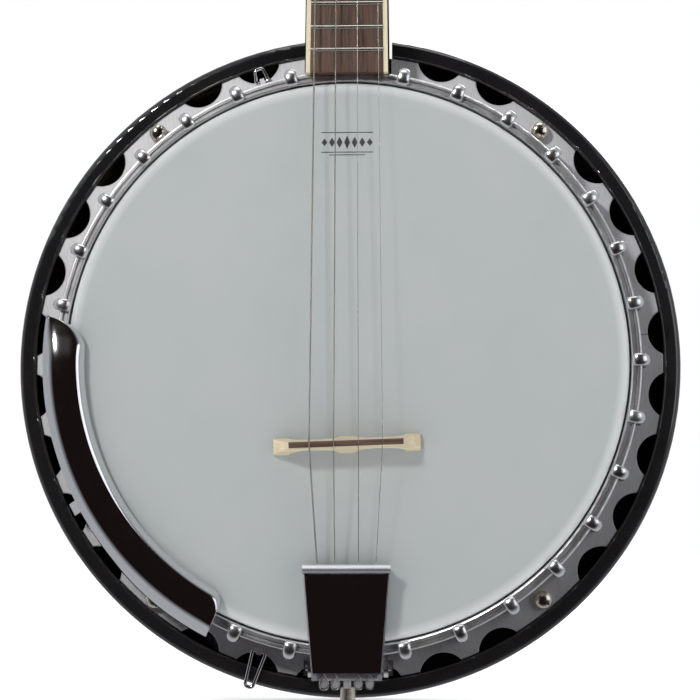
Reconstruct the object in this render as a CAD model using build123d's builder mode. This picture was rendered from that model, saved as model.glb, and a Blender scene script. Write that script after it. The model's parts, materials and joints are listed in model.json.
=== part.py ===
from build123d import *
import os
from math import cos, radians, sin

os.makedirs("parts", exist_ok=True)

# A four-string resonator banjo, standing upright. +Z runs up the neck, the playing
# face looks along -Y, and the origin is on the drum's axis, on the flat back of the
# resonator. A "depth" below is a distance in front of that back, so y = -depth, and
# an "angle" runs round the drum from +X (three o'clock) towards +Z (the neck).

# ---- Driving dimensions, in millimetres and degrees ----

# Resonator, a shallow tray behind the drum
TRAY_R = 168.3
TRAY_WALL = 8.5
BACK_T = 6.0
TRAY_FRONT = 66.0
HEEL_GAP_HALF = 22.3
HEEL_GAP_BOTTOM = 24.0

# Drum
RIM_R = 139.7
RIM_WALL = 16.0
RIM_BACK = 18.0
RIM_FRONT = 80.0
HEAD_FRONT = 88.0
SKIN_T = 0.4
SKIRT_R = 140.4
SKIRT_BACK = 73.0
EDGE_ROUND = 2.4
FLESH_R = 144.6
FLESH_BACK = 71.5
FLESH_FRONT = 76.0
HOOP_IN = 141.4
HOOP_OUT = 146.8
HOOP_FRONT = 86.8
HOOP_GROOVE_R = 144.3

# Flange plates and the brackets that pull on them
FLANGE_BACK = 63.5
FLANGE_T = 1.6
FLANGE_OUT = 159.4
FLANGE_IN = 137.2
SCALLOP_R = 12.25
SCALLOP_CENTRE = 164.7
NECK_GAP_HALF = 22.0
SEAM = 0.3
PITCH = 11.25
HOOK_R = 149.0
HOOK_SHANK_R = 2.1
HOOK_WIDTH = 6.2
HOOK_FRONT = 89.4
NUT_LENGTH = 14.0
NUT_FLATS = 7.0

# Resonator screws and lugs
SCREW_ANGLES = (50.625, 129.375, 230.625, 309.375)
SCREW_R = 154.0
THUMB_R = 2.4
THUMB_TIP = 51.2
THUMB_HEAD_R = 4.6
THUMB_HEAD_H = 5.6
RUNNING_FIT = 0.05
BODY_GAP = 0.3

# Coordinator rods
ROD_DEPTHS = (36.0, 55.0)
ROD_R = 3.0

# Strings, bridge and neck geometry
SCALE = 584.0
FRET_COUNT = 19
LAST_FRET_Z = 156.4
BRIDGE_Z = -42.0
BRIDGE_TURN = 2.0
BRIDGE_H = 15.6
BRIDGE_SPAN = 73.0
CAP_SPAN = 56.5
CAP_H = 2.5
BOARD_END_Z = 144.8
BOARD_END_DEPTH = 92.6
NECK_TILT = 1.51
BOARD_T = 5.0
BOARD_END_W = 41.4
BOARD_NUT_W = 31.2
BINDING_W = 2.2
NECK_LIP = 0.8
PEG_TILT = 13.0
PEG_T = 14.4
VENEER_T = 1.6
PEG_LENGTH = 168.0
STRING_RS = (0.40, 0.30, 0.21, 0.14)
BRIDGE_XS = (-18.2, -6.1, 6.1, 18.0)
NUT_XS = (-11.9, -4.0, 4.0, 11.9)
TOOTH_XS = (-11.2, -5.6, 0.0, 5.6, 11.2)
STRING_TEETH = (0, 1, 3, 4)
# tuners: across and up the peghead, one for each string
TUNER_SPOTS = ((-20.0, 46.0), (-22.0, 108.0), (22.0, 108.0), (20.0, 46.0))

# Tailpiece
BAR_Z = -103.5
BAR_DEPTH = 98.4
BAR_R = 2.25
COMB_FRONT = 92.3
COMB_Z = -154.6
TAIL_END_Z = -158.0
PIVOT_Z = -153.0
PIVOT_DEPTH = 71.5
ADJUST_DEPTH = 80.0

# Armrest
REST_START = 171.5
REST_END = 243.0
REST_IN = 131.0
REST_OUT = 152.6
CLAMP_ANGLE = 208.125

SECTION = Plane(origin=(0, 0, 0), x_dir=(1, 0, 0), z_dir=(0, 0, -1))
BRACKET_ANGLES = [PITCH * k for k in range(32) if k not in (8, 24)]
TRAY_IN = TRAY_R - TRAY_WALL
RIM_IN = RIM_R - RIM_WALL
FLANGE_FRONT = FLANGE_BACK + FLANGE_T


# ---- Helpers ----

def face(depth):
    """The plane that faces the player at a depth in front of the back."""
    return Plane.XZ.offset(depth)


def around(angles):
    """Turns about the drum's axis, for a piece drawn at three o'clock."""
    return [Location((0, 0, 0), (0, -a, 0)) for a in angles]


def ring(points, sweep=360.0, start=0.0):
    """A turned ring, from its section as (radius, depth) points."""
    with BuildPart(mode=Mode.PRIVATE) as turned:
        with BuildSketch(SECTION):
            with BuildLine():
                Polyline(*points, close=True)
            make_face()
        revolve(axis=Axis.Y, revolution_arc=sweep)
    return turned.part.rotate(Axis.Y, -start)


def box_section(r_in, r_out, back, front):
    """The four corners of a plain ring's section."""
    return [(r_in, back), (r_out, back), (r_out, front), (r_in, front)]


def rod_along_z(x, depth, z_low, z_high, radius):
    """A plain round bar along the neck's direction."""
    with BuildPart(mode=Mode.PRIVATE) as bar:
        with BuildSketch(Plane.XY.offset(z_low)):
            with Locations((x, -depth)):
                Circle(radius)
        extrude(amount=z_high - z_low)
    return bar.part


def save(piece, name):
    """Label a finished piece and write it."""
    piece.part.label = name
    export_step(piece.part, f"parts/{name}.step")


# ---- Drum: rim, tone ring, head, hoops ----

with BuildPart() as rim:
    add(ring(box_section(RIM_IN, RIM_R, RIM_BACK, RIM_FRONT)))
    fillet(rim.edges().filter_by(GeomType.CIRCLE).group_by(Axis.Y)[-1], 2.0)
    groove = box_section(FLANGE_IN - 0.3, RIM_R + 1, FLANGE_BACK - 0.1, FLANGE_FRONT + 0.1)
    add(ring(groove), mode=Mode.SUBTRACT)
    for depth in ROD_DEPTHS:
        add(rod_along_z(0, depth, -RIM_R - 1, RIM_R + 1, ROD_R + 0.2), mode=Mode.SUBTRACT)
save(rim, "rim")

with BuildPart() as tone_ring:
    with BuildSketch(SECTION):
        with BuildLine():
            Polyline((128.0, RIM_FRONT), (RIM_R, RIM_FRONT), (RIM_R, 85.6))
            RadiusArc((RIM_R, 85.6), (137.7, HEAD_FRONT - SKIN_T), -2.0)
            Polyline((137.7, HEAD_FRONT - SKIN_T), (136.2, HEAD_FRONT - SKIN_T), (133.4, 84.0),
                     (128.0, 84.0), (128.0, RIM_FRONT))
        make_face()
    revolve(axis=Axis.Y)
save(tone_ring, "tone_ring")

with BuildPart() as head:
    inner_r = SKIRT_R - SKIN_T
    bend = SKIRT_R - EDGE_ROUND
    with BuildSketch(SECTION):
        with BuildLine():
            Polyline((0, HEAD_FRONT - SKIN_T), (0, HEAD_FRONT), (bend, HEAD_FRONT))
            RadiusArc((bend, HEAD_FRONT), (SKIRT_R, HEAD_FRONT - EDGE_ROUND), EDGE_ROUND)
            Polyline((SKIRT_R, HEAD_FRONT - EDGE_ROUND), (SKIRT_R, SKIRT_BACK), (inner_r, SKIRT_BACK),
                     (inner_r, HEAD_FRONT - EDGE_ROUND))
            RadiusArc((inner_r, HEAD_FRONT - EDGE_ROUND), (bend, HEAD_FRONT - SKIN_T),
                      -(EDGE_ROUND - SKIN_T))
            Line((bend, HEAD_FRONT - SKIN_T), (0, HEAD_FRONT - SKIN_T))
        make_face()
    revolve(axis=Axis.Y)
save(head, "head")

with BuildPart() as flesh_hoop:
    add(ring(box_section(SKIRT_R, FLESH_R, FLESH_BACK, FLESH_FRONT)))
    fillet(flesh_hoop.edges().filter_by(GeomType.CIRCLE), 0.5)
save(flesh_hoop, "flesh_hoop")

with BuildPart() as tension_hoop:
    add(ring(box_section(HOOP_IN, HOOP_OUT, FLESH_FRONT, HOOP_FRONT)))
    fillet(tension_hoop.edges().filter_by(GeomType.CIRCLE), 1.0)
    groove = [(HOOP_GROOVE_R - 0.7, HOOP_FRONT + 1), (HOOP_GROOVE_R + 0.7, HOOP_FRONT + 1),
              (HOOP_GROOVE_R + 0.4, HOOP_FRONT - 1.2), (HOOP_GROOVE_R - 0.4, HOOP_FRONT - 1.2)]
    add(ring(groove), mode=Mode.SUBTRACT)
save(tension_hoop, "tension_hoop")

# ---- Flange: four stamped plates with scalloped edges, and eyes for the strap's loops ----

WIRE_R = 0.9
LOOP_DEPTH = TRAY_FRONT + BODY_GAP + WIRE_R + 0.3
LOOP_R = 151.5
LOOPS = {"strap_loop_lower": (252.8, 170.2), "strap_loop_upper": (106.9, 159.0)}
EYE_BORE_R = 1.25
with BuildPart(mode=Mode.PRIVATE) as loop_eye:
    with BuildSketch(face(FLANGE_BACK + FLANGE_T - 0.2)):
        with Locations((LOOP_R, 0)):
            Rectangle(2 * EYE_BORE_R + 1.3, 2.4)
    extrude(amount=LOOP_DEPTH + EYE_BORE_R + 0.8 - FLANGE_BACK - FLANGE_T + 0.2)
    add(rod_along_z(LOOP_R, LOOP_DEPTH, -5.0, 5.0, EYE_BORE_R), mode=Mode.SUBTRACT)

no_scallop = SCREW_ANGLES + (84.375, 95.625)
scallop_angles = [PITCH * (k + 0.5) for k in range(32) if PITCH * (k + 0.5) not in no_scallop]
with BuildPart() as flange_plates:
    with BuildSketch(face(FLANGE_BACK)):
        Circle(FLANGE_OUT)
        Circle(FLANGE_IN, mode=Mode.SUBTRACT)
        for angle in scallop_angles:
            with PolarLocations(SCALLOP_CENTRE, 1, start_angle=angle):
                Circle(SCALLOP_R, mode=Mode.SUBTRACT)
        for angle in BRACKET_ANGLES + [270.0]:
            with PolarLocations(HOOK_R, 1, start_angle=angle):
                Circle(HOOK_SHANK_R + 0.3, mode=Mode.SUBTRACT)
        for angle in SCREW_ANGLES:
            with PolarLocations(SCREW_R, 1, start_angle=angle):
                Circle(THUMB_R + 0.5, mode=Mode.SUBTRACT)
        for angle in (PITCH / 2, 180 - PITCH / 2, 270 - PITCH / 2):
            with PolarLocations(FLANGE_OUT - 10, 1, start_angle=angle):
                Rectangle(40, SEAM, mode=Mode.SUBTRACT)
        with Locations((0, FLANGE_OUT)):
            Rectangle(2 * NECK_GAP_HALF, 60, mode=Mode.SUBTRACT)
    extrude(amount=FLANGE_T)
    front_edges = flange_plates.faces().filter_by(Axis.Y).group_by(Axis.Y)[0].edges()
    outline = front_edges.filter_by(lambda e: (e.center().X ** 2 + e.center().Z ** 2) > 152.0 ** 2
                                    and e.geom_type == GeomType.CIRCLE and e.radius > 5)
    chamfer(outline, 0.4)
    with Locations(*around([angle for angle, outer_r in LOOPS.values()])):
        add(loop_eye.part)
save(flange_plates, "flange_plates")

# ---- Bracket hooks over the hoop, and their nuts behind the flange ----

with BuildPart(mode=Mode.PRIVATE) as one_hook:
    with BuildSketch(Plane.XY.offset(-HOOK_WIDTH / 2)):
        with BuildLine():
            tip = HOOP_IN + 0.6
            outer = HOOK_R + HOOK_SHANK_R
            Polyline((tip, -HOOP_FRONT - 0.05), (tip, -88.2))
            RadiusArc((tip, -88.2), (tip + 1.2, -HOOK_FRONT), 1.2)
            Line((tip + 1.2, -HOOK_FRONT), (outer - 3.0, -HOOK_FRONT))
            RadiusArc((outer - 3.0, -HOOK_FRONT), (outer, 3.0 - HOOK_FRONT), 3.0)
            Polyline((outer, 3.0 - HOOK_FRONT), (outer, -81.0), (HOOP_OUT + 0.1, -81.0),
                     (HOOP_OUT + 0.1, -HOOP_FRONT - 0.05), (tip, -HOOP_FRONT - 0.05))
        make_face()
    extrude(amount=HOOK_WIDTH)
    shoulder = one_hook.edges().filter_by(lambda e: abs(abs(e.center().Z) - HOOK_WIDTH / 2) < 0.01
                                          and e.center().Y < -87.5)
    fillet(shoulder, 1.1)
    with BuildSketch(face(81.5)):
        with Locations((HOOK_R, 0)):
            Circle(HOOK_SHANK_R)
    extrude(amount=-(81.5 - FLANGE_BACK + NUT_LENGTH - 1.0))

with BuildPart() as bracket_hooks:
    with Locations(*around(BRACKET_ANGLES)):
        add(one_hook.part)
save(bracket_hooks, "bracket_hooks")

with BuildPart(mode=Mode.PRIVATE) as one_nut:
    with BuildSketch(face(FLANGE_BACK - 0.1)):
        with Locations((HOOK_R, 0)):
            RegularPolygon(NUT_FLATS / 2, 6, major_radius=False)
            Circle(HOOK_SHANK_R + RUNNING_FIT, mode=Mode.SUBTRACT)
    extrude(amount=-NUT_LENGTH)
    with BuildSketch(face(FLANGE_BACK - 0.1)):
        with Locations((HOOK_R, 0)):
            Circle(NUT_FLATS / 2 + 0.9)
            Circle(HOOK_SHANK_R + RUNNING_FIT, mode=Mode.SUBTRACT)
    extrude(amount=-1.2)

with BuildPart() as bracket_nuts:
    with Locations(*around(BRACKET_ANGLES)):
        add(one_nut.part)
save(bracket_nuts, "bracket_nuts")

# ---- Rods that brace the rim, their nuts, and the studs that hold the neck ----

ROD_JOINT_Z = 112.0
with BuildPart() as coordinator_rods:
    for depth in ROD_DEPTHS:
        add(rod_along_z(0, depth, -RIM_R - 5.4, ROD_JOINT_Z, ROD_R))
save(coordinator_rods, "coordinator_rods")

with BuildPart() as heel_studs:
    for depth in ROD_DEPTHS:
        add(rod_along_z(0, depth, ROD_JOINT_Z + 0.2, 168.0, ROD_R))
save(heel_studs, "heel_studs")

# each rod: a nut inside and outside the tail end, a coupling nut, a nut inside the neck end
rod_nut_spans = ((-RIM_R - 5.2, -RIM_R - 0.1), (-RIM_IN + 0.4, -RIM_IN + 5.4),
                 (ROD_JOINT_Z - 9.0, ROD_JOINT_Z + 6.0), (RIM_IN - 5.4, RIM_IN - 0.4))
with BuildPart() as rod_nuts:
    for depth in ROD_DEPTHS:
        for low, high in rod_nut_spans:
            with BuildSketch(Plane.XY.offset(low)):
                with Locations((0, -depth)):
                    RegularPolygon(5.0, 6, major_radius=False)
                    Circle(ROD_R, mode=Mode.SUBTRACT)
            extrude(amount=high - low)
save(rod_nuts, "rod_nuts")

# ---- Resonator: wall, back, lugs and their screws ----

with BuildPart() as resonator_wall:
    add(ring(box_section(TRAY_IN, TRAY_R, BACK_T, TRAY_FRONT)))
    front = resonator_wall.edges().filter_by(GeomType.CIRCLE).group_by(Axis.Y)[0].sort_by(SortBy.RADIUS)
    fillet(front[-1], 3.0)
    fillet(front[0], 1.5)
    with BuildSketch(face(HEEL_GAP_BOTTOM)):
        with Locations((0, TRAY_R)):
            Rectangle(2 * HEEL_GAP_HALF, 40)
    extrude(amount=TRAY_FRONT, mode=Mode.SUBTRACT)
save(resonator_wall, "resonator_wall")

with BuildPart() as resonator_back:
    with BuildSketch(face(0)):
        Circle(TRAY_R)
    extrude(amount=BACK_T)
    fillet(resonator_back.edges().filter_by(GeomType.CIRCLE).group_by(Axis.Y)[-1], 4.0)
save(resonator_back, "resonator_back")

LUG_FRONT = FLANGE_BACK - BODY_GAP
LUG_SPREAD = 5.6
lug_section = [(TRAY_IN - 2.0, 40.0), (TRAY_IN, 40.0), (TRAY_IN, LUG_FRONT), (148.8, LUG_FRONT),
               (148.8, LUG_FRONT - 4.5), (TRAY_IN - 2.0, LUG_FRONT - 4.5)]
with BuildPart() as resonator_lugs:
    for angle in SCREW_ANGLES:
        add(ring(lug_section, LUG_SPREAD, angle + LUG_SPREAD / 2))
    with BuildSketch(face(35.0)):
        for angle in SCREW_ANGLES:
            with PolarLocations(SCREW_R, 1, start_angle=angle):
                Circle(THUMB_R + RUNNING_FIT)
    extrude(amount=40, mode=Mode.SUBTRACT)
save(resonator_lugs, "resonator_lugs")

with BuildPart(mode=Mode.PRIVATE) as lug_screw_pair:
    for depth in (44.0, 52.5):
        with BuildSketch(Plane.YZ.offset(TRAY_IN - 2.0)):
            with Locations((-depth, 0)):
                Circle(2.8)
        extrude(amount=-1.3)
        with BuildSketch(Plane.YZ.offset(TRAY_IN - 2.1)):
            with Locations((-depth, 0)):
                Circle(1.4)
        extrude(amount=8.0)
with BuildPart() as lug_screws:
    with Locations(*around(SCREW_ANGLES)):
        add(lug_screw_pair.part)
save(lug_screws, "lug_screws")

# ---- Thumbscrews that hold the resonator on ----

for number, angle in enumerate(SCREW_ANGLES, start=1):
    with BuildPart() as thumbscrew:
        with BuildSketch(face(FLANGE_FRONT + BODY_GAP)):
            with PolarLocations(SCREW_R, 1, start_angle=angle):
                Circle(THUMB_HEAD_R)
        extrude(amount=THUMB_HEAD_H)
        fillet(thumbscrew.edges().group_by(Axis.Y)[0], 3.4)
        fillet(thumbscrew.edges().group_by(Axis.Y)[-1], 0.5)
        with BuildSketch(face(THUMB_TIP)):
            with PolarLocations(SCREW_R, 1, start_angle=angle):
                Circle(THUMB_R)
        extrude(amount=FLANGE_FRONT + 1.0 - THUMB_TIP)
    save(thumbscrew, f"thumbscrew_{number}")

# ---- Tailpiece: hanger, pin, base with its comb of teeth, cover, adjusting screw ----

EAR_X = 17.8
EAR_T = 2.2
HANGER_LOW = -157.8
HANGER_HIGH = -147.4
with BuildPart() as tailpiece_hanger:
    with BuildSketch(face(FLANGE_FRONT)):
        with Locations((0, (HANGER_LOW + HANGER_HIGH) / 2)):
            Rectangle(2 * (EAR_X + EAR_T), HANGER_HIGH - HANGER_LOW)
        with Locations((0, -HOOK_R)):
            Circle(2.4, mode=Mode.SUBTRACT)
    extrude(amount=1.8)
    for side in (-1, 1):
        with BuildSketch(Plane.YZ.offset(side * (EAR_X + EAR_T / 2) - EAR_T / 2)):
            with BuildLine():
                Polyline((-FLANGE_FRONT, HANGER_LOW), (-PIVOT_DEPTH - 1.0, HANGER_LOW))
                RadiusArc((-PIVOT_DEPTH - 1.0, HANGER_LOW), (-PIVOT_DEPTH - 6.0, HANGER_LOW + 5.0), 5.0)
                Polyline((-PIVOT_DEPTH - 6.0, HANGER_LOW + 5.0), (-PIVOT_DEPTH - 6.0, HANGER_HIGH - 2.0),
                         (-PIVOT_DEPTH - 10.5, HANGER_HIGH - 2.0), (-PIVOT_DEPTH - 10.5, HANGER_HIGH),
                         (-FLANGE_FRONT, HANGER_HIGH), (-FLANGE_FRONT, HANGER_LOW))
            make_face()
            with Locations((-PIVOT_DEPTH, PIVOT_Z)):
                Circle(1.5, mode=Mode.SUBTRACT)
        extrude(amount=EAR_T)
        with BuildSketch(face(PIVOT_DEPTH - 4.0)):
            with Locations((side * (EAR_X + EAR_T + 1.1), PIVOT_Z)):
                Rectangle(2.6, 8.0)
        extrude(amount=2.0)
save(tailpiece_hanger, "tailpiece_hanger")

BOLT_BACK = 57.0
with BuildPart() as hanger_bolt:
    with BuildSketch(face(FLANGE_FRONT + 1.8)):
        with Locations((0, -HOOK_R)):
            RegularPolygon(2.9, 6, major_radius=False)
    extrude(amount=1.6)
    with BuildSketch(face(BOLT_BACK)):
        with Locations((0, -HOOK_R)):
            Circle(2.1)
    extrude(amount=FLANGE_FRONT + 2.4 - BOLT_BACK)
    with BuildSketch(face(BOLT_BACK + 1.4)):
        with Locations((0, -HOOK_R)):
            RegularPolygon(3.5, 6, major_radius=False)
            Circle(2.1, mode=Mode.SUBTRACT)
    extrude(amount=FLANGE_BACK - 1.5 - BOLT_BACK)
save(hanger_bolt, "hanger_bolt")

with BuildPart() as hinge_pin:
    with BuildSketch(Plane.YZ.offset(-21.4)):
        with Locations((-PIVOT_DEPTH, PIVOT_Z)):
            Circle(1.5)
    extrude(amount=42.8)
save(hinge_pin, "hinge_pin")

LEG_HALF = 12.0
COVER_T = 1.2
COVER_FRONT_LOW = 99.2
COVER_BACK_LOW = 95.0
COVER_CREASE_Z = -111.0
with BuildPart() as tailpiece_base:
    # rear leg from the pin up to the comb
    with BuildSketch(face(PIVOT_DEPTH - 2.6)):
        with Locations((0, PIVOT_Z)):
            Rectangle(2 * LEG_HALF, 5.2)
    extrude(amount=COMB_FRONT - PIVOT_DEPTH + 2.6)
    leg_bottom = tailpiece_base.edges().filter_by(Axis.X).group_by(Axis.Y)[-1]
    fillet(leg_bottom, 2.4)
    # comb plate, wide behind, with five rounded teeth
    with BuildSketch(face(COMB_FRONT - 3.4)):
        with BuildLine():
            Polyline((-17.2, TAIL_END_Z), (17.2, TAIL_END_Z), (17.2, -150.0), (-17.2, -150.0), close=True)
        make_face()
    extrude(amount=3.4)
    with BuildSketch(face(COMB_FRONT - 2.9)):
        with Locations(*[(x, TAIL_END_Z - 1.1) for x in TOOTH_XS]):
            SlotOverall(5.6, 3.3, rotation=90)
    extrude(amount=2.4)
    # side rails, from the comb up to the rolled bar
    for side in (-1, 1):
        with BuildSketch(face(COMB_FRONT - 3.4)):
            with BuildLine():
                Polyline((side * 14.9, TAIL_END_Z), (side * 17.2, TAIL_END_Z), (side * 21.3, BAR_Z),
                         (side * 19.0, BAR_Z), close=True)
            make_face()
        extrude(amount=9.4)
    with BuildSketch(Plane.YZ.offset(-30)):
        with BuildLine():
            Polyline((-COVER_BACK_LOW + 0.5, TAIL_END_Z - 1), (-110, TAIL_END_Z - 1), (-110, BAR_Z + 5),
                     (-COVER_FRONT_LOW + 1.0, BAR_Z + 5), (-COVER_FRONT_LOW + 1.0, BAR_Z - BAR_R - 0.1),
                     (-COVER_FRONT_LOW + 0.1, COVER_CREASE_Z), close=True)
        make_face()
    extrude(amount=60, mode=Mode.SUBTRACT)
    with BuildSketch(Plane.YZ.offset(-21.6)):
        with Locations((-BAR_DEPTH, BAR_Z)):
            Circle(BAR_R)
    extrude(amount=43.2)
    # pin bore and the thread of the adjusting screw
    with BuildSketch(Plane.YZ.offset(-30)):
        with Locations((-PIVOT_DEPTH, PIVOT_Z)):
            Circle(1.5 + RUNNING_FIT)
    extrude(amount=60, mode=Mode.SUBTRACT)
    add(rod_along_z(0, ADJUST_DEPTH, -165, -140, 2.0 + RUNNING_FIT), mode=Mode.SUBTRACT)
save(tailpiece_base, "tailpiece_base")

with BuildPart() as tailpiece_cover:
    with BuildSketch(Plane.YZ.offset(-30)):
        with BuildLine():
            Polyline((-COVER_BACK_LOW, TAIL_END_Z + 3.8), (-COVER_FRONT_LOW, COVER_CREASE_Z),
                     (-COVER_FRONT_LOW + 0.9, BAR_Z - BAR_R - 0.1),
                     (-COVER_FRONT_LOW + 0.9 - COVER_T, BAR_Z - BAR_R - 0.1),
                     (-COVER_FRONT_LOW - COVER_T, COVER_CREASE_Z), (-COVER_BACK_LOW - COVER_T, TAIL_END_Z + 3.8),
                     close=True)
        make_face()
    extrude(amount=60)
    with BuildSketch(face(90)):
        with BuildLine():
            Polyline((-16.6, TAIL_END_Z + 3), (16.6, TAIL_END_Z + 3), (20.6, BAR_Z - 2), (-20.6, BAR_Z - 2),
                     close=True)
        make_face()
    extrude(amount=20, mode=Mode.INTERSECT)
save(tailpiece_cover, "tailpiece_cover")

KNOB_TOP_Z = -160.4
with BuildPart() as adjusting_screw:
    with BuildSketch(Plane.XY.offset(KNOB_TOP_Z)):
        with Locations((0, -ADJUST_DEPTH)):
            Circle(3.8)
    extrude(amount=-11.2)
    fillet(adjusting_screw.edges().filter_by(GeomType.CIRCLE), 0.7)
    add(rod_along_z(0, ADJUST_DEPTH, KNOB_TOP_Z - 1, -HOOP_OUT - 0.6, 2.0))
save(adjusting_screw, "adjusting_screw")

# ---- Armrest, its clamp and the clamp's screw ----

def polar(radius, angle):
    """A point on a plane facing the player."""
    return (radius * cos(radians(angle)), radius * sin(radians(angle)))


with BuildPart() as armrest:
    # domed strip with a turned-down outer lip, cut to a teardrop at its upper end
    with BuildSketch(SECTION):
        with BuildLine():
            Spline((REST_IN, 91.6), (136.5, 95.4), (143.0, 96.6), (149.2, 95.0), (152.0, 91.8))
            Polyline((152.0, 91.8), (REST_OUT, 88.5), (REST_OUT, 84.0), (REST_OUT - 1.0, 84.0),
                     (REST_OUT - 1.0, 88.3), (150.9, 91.4))
            Spline((150.9, 91.4), (148.7, 93.9), (143.0, 95.5), (136.8, 94.3), (REST_IN + 0.6, 90.8))
            Line((REST_IN + 0.6, 90.8), (REST_IN, 91.6))
        make_face()
    revolve(axis=Axis.Y)
    with BuildSketch(face(80)):
        with BuildLine():
            edge_out = REST_OUT + 0.4
            edge_in = REST_IN - 0.2
            start_out = polar(edge_out, REST_START)
            end_out = polar(edge_out, REST_END)
            ThreePointArc(start_out, polar(edge_out, (REST_START + REST_END) / 2), end_out)
            corner = polar(141.0, REST_END + 0.6)
            shoulder = polar(edge_in, REST_END - 3.6)
            swell = polar(edge_in, 183.0)
            Line(end_out, corner)
            ThreePointArc(corner, polar(133.6, REST_END - 0.6), shoulder)
            ThreePointArc(shoulder, polar(edge_in, (REST_END + 183.0) / 2), swell)
            Spline(swell, polar(134.0, 177.6), polar(141.0, 173.6), start_out)
        make_face()
    extrude(amount=30, mode=Mode.INTERSECT)
save(armrest, "armrest")

CLAMP_HALF = 3.2
with BuildPart(mode=Mode.PRIVATE) as clamp_shape:
    with BuildSketch(Plane.XY.offset(-CLAMP_HALF)):
        with BuildLine():
            Polyline((HOOP_IN + 1.0, -HOOP_FRONT - 0.1), (HOOP_IN + 1.0, -90.6), (150.4, -90.6),
                     (150.4, -84.2), (157.4, -76.0), (157.4, -60.8), (151.2, -60.8), (151.2, -63.4),
                     (154.8, -63.4), (154.8, -74.8), (147.2, -83.6), (147.2, -HOOP_FRONT - 0.1),
                     close=True)
        make_face()
    extrude(amount=2 * CLAMP_HALF)
with BuildPart() as armrest_clamp:
    with Locations(*around([CLAMP_ANGLE])):
        add(clamp_shape.part)
save(armrest_clamp, "armrest_clamp")

with BuildPart(mode=Mode.PRIVATE) as clamp_screw_shape:
    with BuildSketch(face(90.6)):
        with Locations((145.8, 0)):
            Circle(2.4)
    extrude(amount=3.0)
with BuildPart() as clamp_screw:
    with Locations(*around([CLAMP_ANGLE])):
        add(clamp_screw_shape.part)
save(clamp_screw, "clamp_screw")

# ---- Wire loops for a strap, hooked in the flange's eyes ----


def strap_loop(inner_r, outer_r, half_in, half_out):
    """A pinched wire loop, drawn at three o'clock: two legs from the flange outwards."""
    with BuildPart(mode=Mode.PRIVATE) as loop:
        with BuildLine(face(LOOP_DEPTH)) as route:
            Polyline((inner_r, -half_in), (outer_r, -half_out), (outer_r, half_out), (inner_r, half_in),
                     close=True)
            fillet(route.vertices(), half_out * 0.85)
        start = route.line @ 0
        with BuildSketch(Plane(origin=start, z_dir=route.line % 0)):
            Circle(WIRE_R)
        sweep()
    return loop.part


for name, (angle, outer_r) in LOOPS.items():
    with BuildPart() as wire_loop:
        with Locations(*around([angle])):
            add(strap_loop(LOOP_R, outer_r, 3.4, 2.0))
    save(wire_loop, name)

# ---- Bridge: maple with three feet and a dark cap ----

CAP_FRONT = HEAD_FRONT + BRIDGE_H
with BuildPart(mode=Mode.PRIVATE) as bridge_blank:
    half = BRIDGE_SPAN / 2
    cap_half = CAP_SPAN / 2
    wood_top = -(CAP_FRONT - CAP_H)
    with BuildSketch(Plane.XY):
        with BuildLine():
            Polyline((-half, -HEAD_FRONT), (-half, -HEAD_FRONT - 3.0), (-cap_half, wood_top),
                     (cap_half, wood_top), (half, -HEAD_FRONT - 3.0), (half, -HEAD_FRONT), close=True)
        make_face()
        for x in (-16.5, 16.5):
            with Locations((x, -HEAD_FRONT)):
                Ellipse(12.6, 7.4, mode=Mode.SUBTRACT)
    extrude(amount=6.0, both=True)
    with BuildSketch(Plane.YZ.offset(-50)):
        with BuildLine():
            Polyline((-HEAD_FRONT, -4.2), (-HEAD_FRONT, 4.2), (wood_top, 1.5), (wood_top, -1.5), close=True)
        make_face()
    extrude(amount=100, mode=Mode.INTERSECT)
with BuildPart(mode=Mode.PRIVATE) as cap_blank:
    with BuildSketch(Plane.YZ.offset(-cap_half)):
        with BuildLine():
            Polyline((wood_top, -1.5), (wood_top, 1.5), (-CAP_FRONT + 0.6, 1.35), (-CAP_FRONT, 0.7),
                     (-CAP_FRONT, -0.7), (-CAP_FRONT + 0.6, -1.35), close=True)
        make_face()
    extrude(amount=CAP_SPAN)
bridge_place = Location((0, 0, BRIDGE_Z), (0, -BRIDGE_TURN, 0))
with BuildPart() as bridge:
    with Locations(bridge_place):
        add(bridge_blank.part)
save(bridge, "bridge")
with BuildPart() as bridge_cap:
    with Locations(bridge_place):
        add(cap_blank.part)
save(bridge_cap, "bridge_cap")

# ---- Neck frame: x across, s up the neck from the board's end, h above the board ----

tilt = radians(NECK_TILT)
NECK = Plane(origin=(0, -BOARD_END_DEPTH, BOARD_END_Z), x_dir=(1, 0, 0), z_dir=(0, -cos(tilt), sin(tilt)))
LAST_FRET_S = (LAST_FRET_Z - BOARD_END_Z) / cos(tilt)
NUT_S = LAST_FRET_S + SCALE * (1 - 2 ** (-FRET_COUNT / 12))
NUT_LONG = 4.6


def fret_s(number):
    """Distance of a fret up the neck from the board's end."""
    return NUT_S - SCALE * (1 - 2 ** (-number / 12))


def board_width(s):
    """Width of the board with its bindings."""
    return BOARD_END_W + (BOARD_NUT_W - BOARD_END_W) * s / NUT_S


def on_board(height):
    """A plane parallel to the board's face."""
    return NECK.offset(height)


def cross_plane(s):
    """A plane across the neck; its y runs backwards from the board's face."""
    origin = NECK.from_local_coords(Vector(0, s, 0))
    return Plane(origin=origin, x_dir=(1, 0, 0), z_dir=(0, sin(tilt), cos(tilt)))


def taper(inset, beyond=0.0):
    """The board's outline, inset from its sides and run on beyond its ends."""
    low = board_width(-beyond) / 2 - inset
    high = board_width(NUT_S + beyond) / 2 - inset
    with BuildSketch() as outline:
        with BuildLine():
            Polyline((-low, -beyond), (low, -beyond), (high, NUT_S + beyond), (-high, NUT_S + beyond),
                     close=True)
        make_face()
    return outline.sketch


HEEL_END_S = -8.0
HEEL_START_S = 68.0
HEEL_EXTRA = 39.0
HEEL_STEPS = 14


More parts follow.
